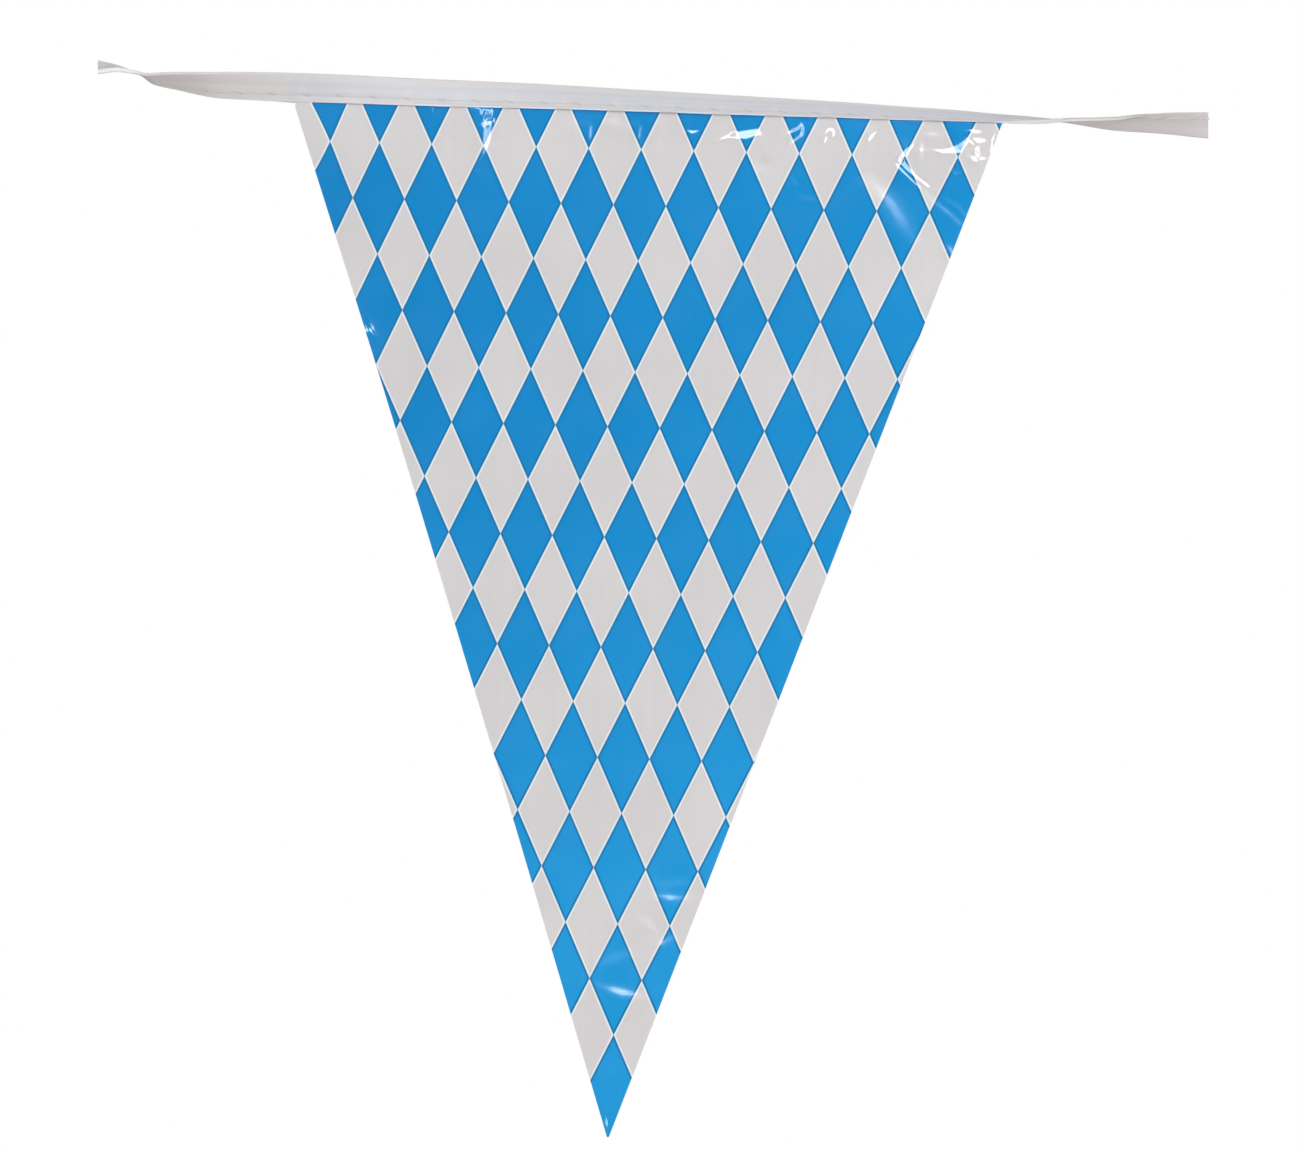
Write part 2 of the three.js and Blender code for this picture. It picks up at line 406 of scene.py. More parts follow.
# Steep bands of the film, such as the side of a fold. A line going right faces up, and one going down
# faces right. A soft band is steep only in its middle and fades slowly past its ends. One with a rim is
# so much steeper along its two sides.
BANDS = [
    strip([(-60.6, 6.2), (-60.7, 7.6), (-60.9, 9.2)], [0.6, 0.45, 0.25], [0.4, 0.4, 0.34]),
    strip([(-45.1, 6.2), (-45.1, 11), (-45.2, 15), (-45.6, 17.8), (-46.3, 19.6), (-48.4, 22.8)],
          [0.9, 1.3, 1.35, 0.9, 0.7, 0.6], [0.34, 0.355, 0.375, 0.385, 0.34, 0.28], rim=0.06),
    strip([(-16, 11.6), (-16.1, 13.4)], 1, 0.35, soft=True),
    strip([(-2.1, 11.4), (-2.3, 13.1)], 1.1, [0.385, 0.38], soft=True),
    strip([(4.4, 11.8), (3.4, 13.6)], [1.2, 1.3], [0.29, 0.28], soft=True),
    strip([(11.5, 11.5), (12.6, 11.8), (13.9, 11.4)], [0.35, 0.6, 0.35], [0.34, 0.35, 0.34]),
    strip([(19.9, 13.7), (22, 12.9), (23.9, 12.1)], [0.2, 0.45, 0.65], 0.4),
    strip([(24.2, 12.3), (27.5, 12.1), (31, 11.2)], [0.9, 1.3, 1.0], [0.31, 0.3, 0.31], rim=0.35),
    strip([(39.7, 11.2), (41, 10.5), (42.2, 9.9), (42.9, 8.8)], [0.4, 0.45, 0.45, 0.35],
          [0.42, 0.44, 0.44, 0.42]),
    strip([(42.9, 8.6), (43.5, 10.3), (43.2, 11.8), (42.2, 12.6), (40.3, 14.1)],
          [0.35, 0.45, 0.6, 0.5, 0.45], [0.42, 0.43, 0.43, 0.42, 0.4]),
    strip([(42.2, 25.6), (43.8, 29.4), (46.4, 29.6)], [0.8, 0.9, 0.7], [0.24, 0.25, 0.23], soft=True),
    strip([(50.1, 12.4), (49.6, 13.9)], [0.5, 0.3], 0.36),
    strip([(64.1, 10.2), (62.9, 11.6), (62.1, 12.8)], [0.35, 0.65, 0.55], [0.38, 0.39, 0.39]),
    strip([(61.8, 23.6), (65.8, 27.2), (69, 30.9), (72.2, 35.4), (75.8, 40.6)], [3, 4, 4.4, 4, 3],
          [0.16, 0.23, 0.225, 0.215, 0.18], soft=True),
    strip([(64.6, 25.4), (68.8, 29.7), (72.6, 35)], [0.5, 0.8, 0.5], [0.02, 0.04, 0.02], soft=True),
    strip([(66.4, 29), (69.4, 32.8), (72, 37)], [0.4, 0.6, 0.4], [0.02, 0.04, 0.02], soft=True),
    strip([(74.6, 13.7), (72.8, 15.5), (71.4, 17.8), (70.4, 19.4)], [0.3, 0.85, 0.95, 0.5],
          [0.36, 0.33, 0.33, 0.38], rim=0.25),
    strip([(71.6, 18.9), (73, 20.5), (75.4, 22.7), (78.9, 25.3)], [0.7, 0.65, 0.45, 0.4],
          [0.4, 0.43, 0.45, 0.42]),
    strip([(69.8, 19.5), (71.9, 21.5), (74.2, 23.6), (76.6, 25.7)], [0.38, 0.38, 0.38, 0.34],
          [0.42, 0.45, 0.45, 0.42]),
    strip([(78.2, 26.6), (78.7, 27.8)], [0.45, 0.4], [0.37, 0.35]),
    strip([(76.8, 14.6), (76.7, 16.4)], 0.9, [0.31, 0.3], soft=True),
    strip([(75.6, 15.3), (78.6, 15.1)], 0.8, [0.22, 0.2], soft=True),
    strip([(79.1, 10.7), (79.8, 10.7)], 0.9, 0.28, soft=True),
    strip([(80.8, 15.2), (82.6, 15.5), (84.9, 15.3), (87.1, 14.7), (89.1, 12.5), (90.1, 10.6)],
          [0.25, 0.6, 0.9, 1.4, 0.7, 0.3], [0.39, 0.39, 0.34, 0.315, 0.35, 0.38], rim=0.1),
    strip([(89.4, 9.6), (90.4, 9.5), (91.4, 9.8), (92.8, 9.9)], [0.25, 0.4, 0.5, 0.45],
          [0.41, 0.41, 0.41, 0.38]),
    strip([(85.6, 20.8), (86.7, 21.8), (87.7, 21.2)], [0.6, 0.6, 0.5], [0.24, 0.25, 0.24], soft=True),
    strip([(80.6, 29.4), (84.2, 32), (87.9, 35.2)], [0.9, 1.1, 0.9], [0.3, 0.335, 0.3], soft=True),
    strip([(84.4, 28.9), (87.6, 30.8), (89.4, 32.8)], [0.7, 0.8, 0.7], [0.3, 0.33, 0.3], soft=True),
    strip([(91.6, 12), (92.7, 12.3), (93.9, 12.3)], [0.4, 0.65, 0.5], 0.31),
    strip([(90.2, 12.6), (90.7, 13.1)], 0.35, 0.4),
    strip([(92.2, 14.8), (92.5, 16)], [0.65, 0.6], [0.3, 0.31]),
    strip([(93, 17.4), (94.3, 17.3)], [0.6, 0.5], 0.31),
    strip([(91.5, 17.3), (92.2, 18)], [0.4, 0.35], 0.33),
    strip([(96.9, 10.7), (96.5, 11.8)], [0.45, 0.4], 0.31),
    strip([(96.4, 12.4), (96.2, 13.1)], 0.32, 0.34),
    strip([(96.2, 14.2), (95.9, 15.2)], [0.38, 0.35], 0.34),
    strip([(-77.4, 69.6), (-76.5, 70.9)], 0.35, 0.46),
    strip([(-77.9, 68.5), (-77.6, 69.1)], 0.32, 0.44),
    strip([(-78.8, 70), (-78, 70)], [0.5, 0.45], 0.33),
    strip([(11, 224.2), (16, 223)], 2, [0.215, 0.2], soft=True),
    strip([(9.6, 227.2), (12.8, 227.6), (17.2, 227.5)], [1.5, 2, 1.4], [0.29, 0.325, 0.24], soft=True),
    strip([(4.2, 233.6), (7, 234.5), (7.6, 235.5), (8.6, 236.2), (9.6, 237.3), (10, 239.8)],
          [0.4, 0.9, 0.8, 0.6, 0.6, 0.4], [0.22, 0.28, 0.28, 0.28, 0.31, 0.32]),
    strip([(10.6, 240.8), (13.8, 238.8)], 1.7, 0.23, soft=True),
    strip([(-5, 246.6), (-1.4, 245), (2.2, 243)], [2, 2.6, 2], [0.2, 0.225, 0.2], soft=True),
    strip([(-5.7, 253.1), (-2.6, 254), (0.4, 254.7), (3.4, 255.2), (5.4, 255.4)], [1, 2, 2.3, 1.9, 1.3],
          [0.25, 0.33, 0.35, 0.3, 0.23], soft=True),
    strip([(-13.8, 258), (-13.3, 259.4)], 0.45, 0.38),
    strip([(-2.9, 290.6), (-2.75, 292.4)], 0.34, 0.34),
]
BAND_RELEASE = 0.3
HARD_END = 0.8
SOFT_END = 2

# Patches of small hard creases, each drawn by its own seed. The lines lie within a share of the patch.
CRUMPLES = [
    {"across": -45.2, "down": 9, "wide": 1.7, "high": 2.4, "lines": 8, "slope": 0.42, "seed": 5},
    {"across": 93.4, "down": 14.5, "wide": 3.2, "high": 5, "lines": 18, "slope": 0.07, "seed": 11},
]
CRUMPLE_REACH = 0.8
CREASE_RADIUS = 0.12

# The seam draws the film into slight upright flutes that fade going down, and the whole sheet ripples
FLUTES = {"height": 0.05, "fade": 9}
RIPPLES = {"height": 0.16, "longest": 70, "shortest": 24, "turned": 0.7, "count": 14, "seed": 21}
RELIEF_STARTS = {"low": MARGIN - 0.5, "high": MARGIN + 0.7}


def swelling(row, across, down):
    right, below = across - row["across"], down - row["down"]
    along, over = rotated(right, below, math.radians(row["turn"]))
    out = np.hypot(along / row["long"], over / row["short"])
    if "wall" in row:
        return row["height"] * np.clip((1 - out) * row["short"] / row["wall"], 0, 1)
    return row["height"] * np.exp(-(out**2))


def beside_line(line, across, down):
    """Signed distance to a line, how far along it in points, and how far past its ends, at each place."""
    nearest = np.full(across.shape, np.inf)
    signed, along, past = (np.zeros(across.shape) for _ in range(3))
    last = len(line) - 2
    for i, ((a0, d0), (a1, d1)) in enumerate(zip(line, line[1:])):
        length = math.hypot(a1 - a0, d1 - d0)
        share = ((across - a0) * (a1 - a0) + (down - d0) * (d1 - d0)) / length**2
        before = np.maximum(-share, 0) if i == 0 else 0
        after = np.maximum(share - 1, 0) if i == last else 0
        on_line = np.clip(share, 0, 1) - before + after
        right, below = across - a0 - on_line * (a1 - a0), down - d0 - on_line * (d1 - d0)
        away = np.hypot(right, below)
        side = np.sign(below * (a1 - a0) - right * (d1 - d0))
        out = (before + after) * length
        closer = np.hypot(away, out) < nearest
        nearest = np.where(closer, np.hypot(away, out), nearest)
        signed = np.where(closer, side * away, signed)
        along = np.where(closer, i + np.clip(share, 0, 1), along)
        past = np.where(closer, out, past)
    return signed, along, past


def band(row, across, down):
    """A slope as wide as the band, let go again slowly on both of its sides."""
    signed, along, past = beside_line(row["line"], across, down)
    points = np.arange(len(row["line"]))
    per_point = [np.broadcast_to(row[name], points.shape) for name in ("half", "slope")]
    half, slope = (np.interp(along, points, values) for values in per_point)
    slope = slope * np.exp(-((past / (SOFT_END if row["soft"] else HARD_END)) ** 2))
    step = signed / half
    inside = np.clip(step, -1, 1)
    if row["soft"]:
        inside = np.sin(inside * np.pi / 2) * 2 / np.pi
    inside = inside + row["rim"] * inside**3 / 3
    return slope * half * inside * np.exp(-BAND_RELEASE * np.maximum(np.abs(step) - 1, 0))


def crumple(row, across, down):
    """Small facets: flat slopes that change along straight lines laid at random through the patch."""
    draw = np.random.default_rng(row["seed"])
    right, below = across - row["across"], down - row["down"]
    height = np.zeros(across.shape)
    for turn, place, way in zip(
        draw.uniform(0, math.pi, row["lines"]),
        draw.uniform(-CRUMPLE_REACH, CRUMPLE_REACH, row["lines"]),
        draw.choice([-1, 1], row["lines"]),
    ):
        off = rotated(right, below, turn)[0] - place * min(row["wide"], row["high"])
        height += way * np.hypot(off, CREASE_RADIUS)
    height *= row["slope"] / math.sqrt(row["lines"])
    window = np.exp(-((right / row["wide"]) ** 4) - (below / row["high"]) ** 4)
    half_open = window > 0.5
    return (height - height[half_open].mean()) * window


def ripples(across, down):
    """Slight waves of many lengths and directions, mostly upright."""
    draw = np.random.default_rng(RIPPLES["seed"])
    height = np.zeros(across.shape)
    for _ in range(RIPPLES["count"]):
        length = draw.uniform(RIPPLES["shortest"], RIPPLES["longest"])
        turn = draw.normal(0, RIPPLES["turned"])
        phase = draw.uniform(0, 2 * math.pi)
        travel = rotated(across, down, turn)[0]
        height += length / RIPPLES["longest"] * np.sin(2 * math.pi * travel / length + phase)
    return RIPPLES["height"] * height / math.sqrt(RIPPLES["count"])


def relief(across, down):
    """Height of the film's small forms over its slow shape, towards the viewer."""
    flutes = np.cos(2 * math.pi * (across - STITCH_AT) / STITCH)
    height = FLUTES["height"] * flutes * np.exp(-np.maximum(down - BEND_START, 0) / FLUTES["fade"])
    height += ripples(across, down)
    forms = [(SWELLINGS, swelling), (BANDS, band), (CRUMPLES, crumple)]
    for rows, form in forms:
        for row in rows:
            height += form(row, across, down)
    return height * smooth_step(down, RELIEF_STARTS["low"], RELIEF_STARTS["high"])


def divided(steps, end, multiple=1):
    """Places from the first start to the end, spaced by each row's step, in a whole multiple of spaces."""
    places = []
    for row, following in zip(steps, steps[1:] + [{"start": end}]):
        count = max(round((following["start"] - row["start"]) / row["step"] / multiple), 1) * multiple
        places.append(np.linspace(row["start"], following["start"], count, endpoint=False))
    return np.concatenate([*places, [end]])


def thinned_grid(index, every):
    """Faces of a grid of numbered points whose rows keep only every so many columns, for its front."""
    faces = []
    for upper, lower, above, below in zip(index, index[1:], every, every[1:]):
        starts = np.arange(0, index.shape[1] - 1, below)
        ends = starts + below
        corners = [upper[starts], lower[starts], lower[ends], upper[ends]]
        if above < below:
            corners.append(upper[starts + above])
        faces.append(np.stack(corners, -1))
    return faces


def closed_sheet(across_shape, every):
    """Which points of a grid are kept, and the faces of front, back and wall over two copies of them."""
    rows, columns = across_shape
    kept = np.arange(columns)[None, :] % np.array(every)[:, None] == 0
    front = np.where(kept, np.cumsum(kept).reshape(rows, columns) - 1, 0)
    count = int(kept.sum())
    faces = thinned_grid(front, every)
    sides = faces + [(group + count)[:, ::-1] for group in faces]

    def wall(line, forward):
        a, b = (line, line + count) if forward else (line + count, line)
        return np.stack([a[:-1], b[:-1], b[1:], a[1:]], -1)

    top, bottom = front[0, :: every[0]], front[-1, :: every[-1]]
    walls = [wall(front[:, 0], True), wall(front[:, -1], False), wall(top, False), wall(bottom, True)]
    return kept, sides, walls


def corner_values(values, faces):
    """The values of every face's corners, in a row."""
    return np.concatenate([values[group].reshape(-1, 2) for group in faces])


# Edges that bend by more degrees than this are drawn sharp
SHARP_FROM = 60


def add_object(name, data, matrix=Matrix()):
    added = bpy.data.objects.new(name, data)
    added.matrix_world = matrix
    bpy.context.scene.collection.objects.link(added)
    return added


def mesh_object(name, points, faces, maps, material):
    """A mesh from points in millimetres, with UV maps given as one pair of numbers for each corner."""
    mesh = bpy.data.meshes.new(name)
    mesh.from_pydata((points * MM).tolist(), [], [face for group in faces for face in group.tolist()])
    for map_name, corners in maps.items():
        layer = mesh.uv_layers.new(name=map_name)
        layer.uv.foreach_set("vector", corners.astype(np.float32).ravel())
    mesh.materials.append(material)
    mesh.shade_smooth()
    mesh.set_sharp_from_angle(angle=math.radians(SHARP_FROM))
    mesh.update()
    return add_object(name, mesh)


# The noise in a material mostly stays between these values
NOISE = {"low": 0.3, "high": 0.7}


class Shader:
    """The nodes of a material or the world. An input takes a number, a colour or another node's output."""

    def __init__(self, owner):
        self.owner = owner
        owner.use_nodes = True
        self.tree = owner.node_tree
        self.tree.nodes.clear()

    def add(self, kind, inputs=None, **settings):
        node = self.tree.nodes.new(kind)
        for name, value in settings.items():
            setattr(node, name, value)
        for name, value in (inputs or {}).items():
            if isinstance(value, bpy.types.NodeSocket):
                self.tree.links.new(value, node.inputs[name])
            else:
                node.inputs[name].default_value = value
        return node

    def math(self, operation, *values, clamp=False):
        inputs = dict(enumerate(values))
        return self.add("ShaderNodeMath", inputs, operation=operation, use_clamp=clamp).outputs[0]

    def less(self, first, second):
        return self.math("SUBTRACT", first, second)

    def times(self, first, second):
        return self.math("MULTIPLY", first, second)

    def mapped(self, value, low, high, new_low=0, new_high=1):
        inputs = {"Value": value, "From Min": low, "From Max": high, "To Min": new_low, "To Max": new_high}
        return self.add("ShaderNodeMapRange", inputs, clamp=True).outputs["Result"]

    def spread(self, place, low, high, new_low=0, new_high=1):
        """The same for a place in metres, with the two ends in millimetres."""
        return self.mapped(place, low * MM, high * MM, new_low, new_high)

    def uv_place(self, name):
        """A place on a UV map, and its two numbers."""
        place = self.add("ShaderNodeUVMap", uv_map=name).outputs["UV"]
        axes = self.add("ShaderNodeSeparateXYZ", {"Vector": place})
        return place, axes.outputs["X"], axes.outputs["Y"]

    def mix(self, share, first, second, blend="MIX"):
        inputs = {0: share, 6: first, 7: second}
        return self.add("ShaderNodeMix", inputs, data_type="RGBA", blend_type=blend).outputs[2]

    def toned(self, colour, tone):
        """The colour made darker or lighter by a tone near 1."""
        inputs = {"Red": tone, "Green": tone, "Blue": tone}
        grey = self.add("ShaderNodeCombineColor", inputs).outputs["Color"]
        return self.mix(1, colour, grey, "MULTIPLY")

    def ramp(self, value, stops):
        node = self.add("ShaderNodeValToRGB", {"Fac": value})
        elements = node.color_ramp.elements
        elements.remove(elements[1])
        elements[0].position, elements[0].color = stops[0]
        for place, colour in stops[1:]:
            elements.new(place).color = colour
        return node.outputs["Color"]

    def noise(self, where, scale, detail=2.0, roughness=0.5):
        inputs = {"Vector": where, "Scale": scale, "Detail": detail, "Roughness": roughness}
        return self.add("ShaderNodeTexNoise", inputs).outputs["Fac"]

    def ranged(self, noise, low, high):
        """Noise that mostly stays between two values of its own."""
        return self.mapped(noise, NOISE["low"], NOISE["high"], low, high)

    def stretched(self, where, scale):
        node = self.add("ShaderNodeMapping", {"Vector": where, "Scale": scale})
        return node.outputs["Vector"]

    def bump(self, height, distance, normal=None):
        inputs = {"Height": height, "Distance": distance, "Strength": 1.0}
        if normal is not None:
            inputs["Normal"] = normal
        return self.add("ShaderNodeBump", inputs).outputs["Normal"]

    def principled(self, inputs):
        return self.finish(self.add("ShaderNodeBsdfPrincipled", inputs).outputs["BSDF"])

    def finish(self, surface, kind="ShaderNodeOutputMaterial"):
        self.add(kind, {"Surface": surface})
        return self.owner


CUT_MAP = "cut"
FILM_WHITE = (0.765, 0.744, 0.755, 1)
PALE_RIM = (0.88, 0.965, 0.995, 1)
BLUE_RIM = (0.001, 0.2, 0.48, 1)
BLUE = (0, 0.272, 0.685, 1)
# The lighter blue that the painted sheen mixes in
SHEEN_BLUE = (0.01, 0.37, 0.825, 1)

# The print's colours by the depth inside a lozenge, and where the inner blue sets in
RIM_COLOURS = [(-0.56, FILM_WHITE), (-0.4, PALE_RIM), (-0.12, PALE_RIM), (0.08, BLUE_RIM)]
RIM_REACH = 1
BLUE_FROM = 0.4
BLUE_FULL_FROM = 0.64
# Painted sheen: going right and going down, the blue is mixed towards a lighter blue
BLUE_SHEEN_SPREAD = {"left": -85, "right": 85, "by_right": 0.45, "top": 110, "low": 235, "by_low": 0.75}


def blue_depth(shader, across, down):
    """How deep a place of the cut lies inside a blue lozenge, in metres: under zero in the white."""
    def off_middle(value, middle, pitch):
        steps = shader.math("DIVIDE", shader.less(value, middle * MM), pitch * MM)
        return shader.math("ABSOLUTE", shader.less(steps, shader.math("ROUND", steps)))

    middle_down = MEETING_DOWN + LOZENGE_HEIGHT / 2
    sideways = off_middle(across, MEETING_ACROSS, LOZENGE_WIDTH)
    upright = off_middle(down, middle_down, LOZENGE_HEIGHT)
    left_over = shader.less(0.5, shader.math("ADD", sideways, upright))
    return shader.math("DIVIDE", left_over, math.hypot(1 / LOZENGE_WIDTH, 1 / LOZENGE_HEIGHT) / MM)


def printed_film():
    """Glossy white film. Its blue lozenges have a painted sheen, lighter at the right and low down, and a
    pale line.
    """
    shader = Shader(bpy.data.materials.new("printed_film"))
    place, across, down = shader.uv_place(CUT_MAP)
    depth = blue_depth(shader, across, down)

    share = shader.spread(depth, -RIM_REACH, RIM_REACH)
    colour = shader.ramp(share, [(0.5 + inside / 2 / RIM_REACH, colour) for inside, colour in RIM_COLOURS])
    # Painted sheen: the printed blue grows lighter to the right and low down
    to_right = shader.spread(across, BLUE_SHEEN_SPREAD["left"], BLUE_SHEEN_SPREAD["right"], 0, BLUE_SHEEN_SPREAD["by_right"])
    to_low = shader.spread(down, BLUE_SHEEN_SPREAD["top"], BLUE_SHEEN_SPREAD["low"], 0, BLUE_SHEEN_SPREAD["by_low"])
    sheen_share = shader.math("ADD", to_right, to_low, clamp=True)
    printed = shader.mix(sheen_share, BLUE, SHEEN_BLUE)
    colour = shader.mix(shader.spread(depth, BLUE_FROM, BLUE_FULL_FROM), colour, printed)
    patches = shader.noise(place, 28, 3)
    drawn = shader.noise(shader.stretched(place, (400, 9, 1)), 1, 3)
    tone = shader.math("ADD", shader.ranged(patches, 0.955, 1.015), shader.ranged(drawn, -0.012, 0.012))
    colour = shader.toned(colour, tone)

    cloudy = shader.noise(place, 90, 4)
    rough = shader.mapped(cloudy, 0.3, 0.75, 0.18, 0.26)
    wavelets = shader.bump(shader.noise(place, 420, 2), 0.02 * MM)
    grain = shader.bump(shader.noise(place, 2600, 1), 0.0012 * MM, wavelets)
    return shader.principled({
        "Base Color": colour,
        "Roughness": rough,
        "IOR": 1.5,
        "Coat Weight": 1.0,
        "Coat Roughness": 0.11,
        "Coat IOR": 1.55,
        "Normal": grain,
    })


TAPE_MAP = "tape"
TAPE_WHITE = (0.7, 0.674, 0.68, 1)
TAPE_OVER_BLUE = (0.57, 0.622, 0.697, 1)
# The painted highlights' colours: on the lip, then on the fold
LIP_HIGHLIGHT_COLOUR = (0.8, 0.87, 0.95, 1)
FOLD_HIGHLIGHT_COLOUR = (0.88, 0.865, 0.87, 1)

# Places on the tape, from its mid-line to its open edges: the shade where the pennant's margin ends
# inside it, a painted highlight along its lip over blue print, a painted highlight along its fold at the
# left end, and painted shade in the puckers at the needle holes. Print shows through so much from the
# white to the blue.
MARGIN_TOP_SHADE = {"middle": -1.3, "half_width": 0.9, "most": 0.9}
MARGIN_STARTS = {"from": -0.5, "to": 0.6}
MARGIN_SIDE = 1.5
PRINT_SHOWS = {"from": -0.6, "to": 0.9, "white": 0.12, "blue": 0.5, "left": 0.75, "right": 1.1}
LIP_HIGHLIGHT = {"from": 3.5, "to": 3.75, "none_at": -80, "full_at": -62, "blue_full": 0.5}
FOLD_HIGHLIGHT = {"from": -3.75, "to": -3.5, "full_at": -147, "gone_at": -142}
PUCKER_SHADE = {"left": 0.9, "long": 1.7, "wide": 0.45, "falling": 0.25, "tone": 0.78}


def painted_pucker_shade(shader, across, to_open):
    """The painted shade in the pucker at each needle hole, which falls a little to the right."""
    from_first = shader.less(across, (STITCH_AT - PUCKER_SHADE["left"]) * MM)
    steps = shader.math("DIVIDE", from_first, STITCH * MM)
    beside = shader.less(steps, shader.math("ROUND", steps))
    falling = shader.times(beside, PUCKER_SHADE["falling"] * STITCH * MM)
    over = shader.less(shader.less(to_open, SEAM_FROM_MIDDLE * MM), falling)
    along = shader.times(beside, STITCH / PUCKER_SHADE["long"])
    over = shader.math("DIVIDE", over, PUCKER_SHADE["wide"] * MM)
    away = shader.math("ADD", shader.times(along, along), shader.times(over, over))
    return shader.mapped(away, 0, 1, PUCKER_SHADE["tone"], 1)


def tape_film():
    """Satin white film with lines drawn along it. The pennant's hidden print shows faintly through, and the
    lip, fold and puckers carry painted highlights and painted shade.
    """
    shader = Shader(bpy.data.materials.new("tape_film"))
    place, across, to_open = shader.uv_place(TAPE_MAP)
    down = shader.math("ADD", to_open, (MARGIN - LIP) * MM)
    blue = blue_depth(shader, across, down)

    white, full = PRINT_SHOWS["white"], PRINT_SHOWS["blue"]
    print_shows = shader.spread(blue, PRINT_SHOWS["from"], PRINT_SHOWS["to"], white, full)
    off_top = shader.math("ABSOLUTE", shader.less(to_open, MARGIN_TOP_SHADE["middle"] * MM))
    top_shade = shader.spread(off_top, 0, MARGIN_TOP_SHADE["half_width"], MARGIN_TOP_SHADE["most"], 0)
    print_shows = shader.math("MAXIMUM", print_shows, top_shade)
    over_margin = shader.spread(down, MARGIN_STARTS["from"], MARGIN_STARTS["to"])
    from_left = shader.spread(across, CUT_LEFT, CUT_LEFT + MARGIN_SIDE)
    from_right = shader.spread(across, CUT_RIGHT - MARGIN_SIDE, CUT_RIGHT, 1, 0)
    growing = shader.spread(across, CUT_LEFT, CUT_RIGHT, PRINT_SHOWS["left"], PRINT_SHOWS["right"])
    on_pennant = shader.times(growing, shader.times(from_left, from_right))
    shows = shader.math("MULTIPLY", shader.times(print_shows, over_margin), on_pennant, clamp=True)
    colour = shader.mix(shows, TAPE_WHITE, TAPE_OVER_BLUE)

    # Painted highlight: a light line along the lip where it lies over blue print
    at_lip = shader.spread(to_open, LIP_HIGHLIGHT["from"], LIP_HIGHLIGHT["to"])
    beside_blue = shader.spread(blue, 0, LIP_HIGHLIGHT["blue_full"])
    past_start = shader.spread(across, LIP_HIGHLIGHT["none_at"], LIP_HIGHLIGHT["full_at"])
    lip_highlight = shader.times(at_lip, shader.times(beside_blue, shader.times(past_start, from_right)))
    colour = shader.mix(lip_highlight, colour, LIP_HIGHLIGHT_COLOUR)
    # Painted highlight: the fold is lighter near the tape's left end
    at_fold = shader.spread(to_open, FOLD_HIGHLIGHT["from"], FOLD_HIGHLIGHT["to"], 1, 0)
    at_end = shader.spread(across, FOLD_HIGHLIGHT["full_at"], FOLD_HIGHLIGHT["gone_at"], 1, 0)
    colour = shader.mix(shader.times(at_fold, at_end), colour, FOLD_HIGHLIGHT_COLOUR)

    lines = shader.noise(shader.stretched(place, (6, 2600, 1)), 1, 3, 0.6)
    broad_lines = shader.noise(shader.stretched(place, (10, 700, 1)), 1, 2)
    broad_tone = shader.mapped(broad_lines, 0.35, 0.65, -0.02, 0.02)
    colour = shader.toned(colour, shader.math("ADD", shader.ranged(lines, 0.95, 1.02), broad_tone))
    # Painted shade in the pucker at each needle hole
    colour = shader.toned(colour, painted_pucker_shade(shader, across, to_open))

    rough = shader.ranged(lines, 0.36, 0.5)
    ridges = shader.bump(broad_lines, 0.05 * MM)
    drawn = shader.bump(lines, 0.012 * MM, ridges)
    return shader.principled({
        "Base Color": colour,
        "Roughness": rough,
        "IOR": 1.25,
        "Normal": drawn,
    })


THREAD_MAP = "thread"
THREAD_TWIST = 0.45
THREAD_WARMTH = 0.97


def sewing_thread():
    """White spun thread, with its twist as slanting plies."""
    shader = Shader(bpy.data.materials.new("sewing_thread"))
    place, along, around = shader.uv_place(THREAD_MAP)
    turns = shader.math("DIVIDE", along, THREAD_TWIST * MM)
    slant = shader.math("FRACT", shader.math("ADD", turns, around))
    ply = shader.math("PINGPONG", slant, 0.5)
    fibres = shader.noise(shader.stretched(place, (9000, 6, 1)), 1, 2)
    # Painted shade: each ply darkens towards the grooves between the plies
    ply_groove_shade = shader.mapped(ply, 0, 0.5, 0.56, 0.64)
    tone = shader.math("ADD", ply_groove_shade, shader.ranged(fibres, -0.03, 0.03))
    inputs = {"Red": tone, "Green": tone, "Blue": shader.times(tone, THREAD_WARMTH)}
    colour = shader.add("ShaderNodeCombineColor", inputs).outputs["Color"]
    return shader.principled({
        "Base Color": colour,
        "Roughness": 0.55,
        "Sheen Weight": 0.2,
        "Normal": shader.bump(ply, 0.05 * MM),
    })


def printed_place(cut):
    """Where on the even grid of lozenges each place of the cut is printed."""
    printed = cut.copy()
    for row in PRINT_SHIFTS:
        right, below = (cut[:, 0] - row["across"]) / row["wide"], (cut[:, 1] - row["down"]) / row["high"]
        printed[:, 0] -= row["right"] * np.exp(-(right**2 + below**2))
    return printed


# The map that a texture is baked through: front and back of the pennant nest in one square, and the
# narrow rim takes its colours from just inside the front
BAKE_MAP = "OFBake"
BAKE_SIDE = 314
BAKE_EDGE = 2
BAKE_BACK_START = 308
RIM_INSET = 0.5


def pennant_bake_map(across, down, is_back):
    u = np.where(is_back, BAKE_BACK_START - (across - CUT_LEFT), across - CUT_LEFT)
    v = np.where(is_back, down, CUT_HEIGHT - down)
    return np.stack([u + BAKE_EDGE, v + BAKE_EDGE], -1) / BAKE_SIDE


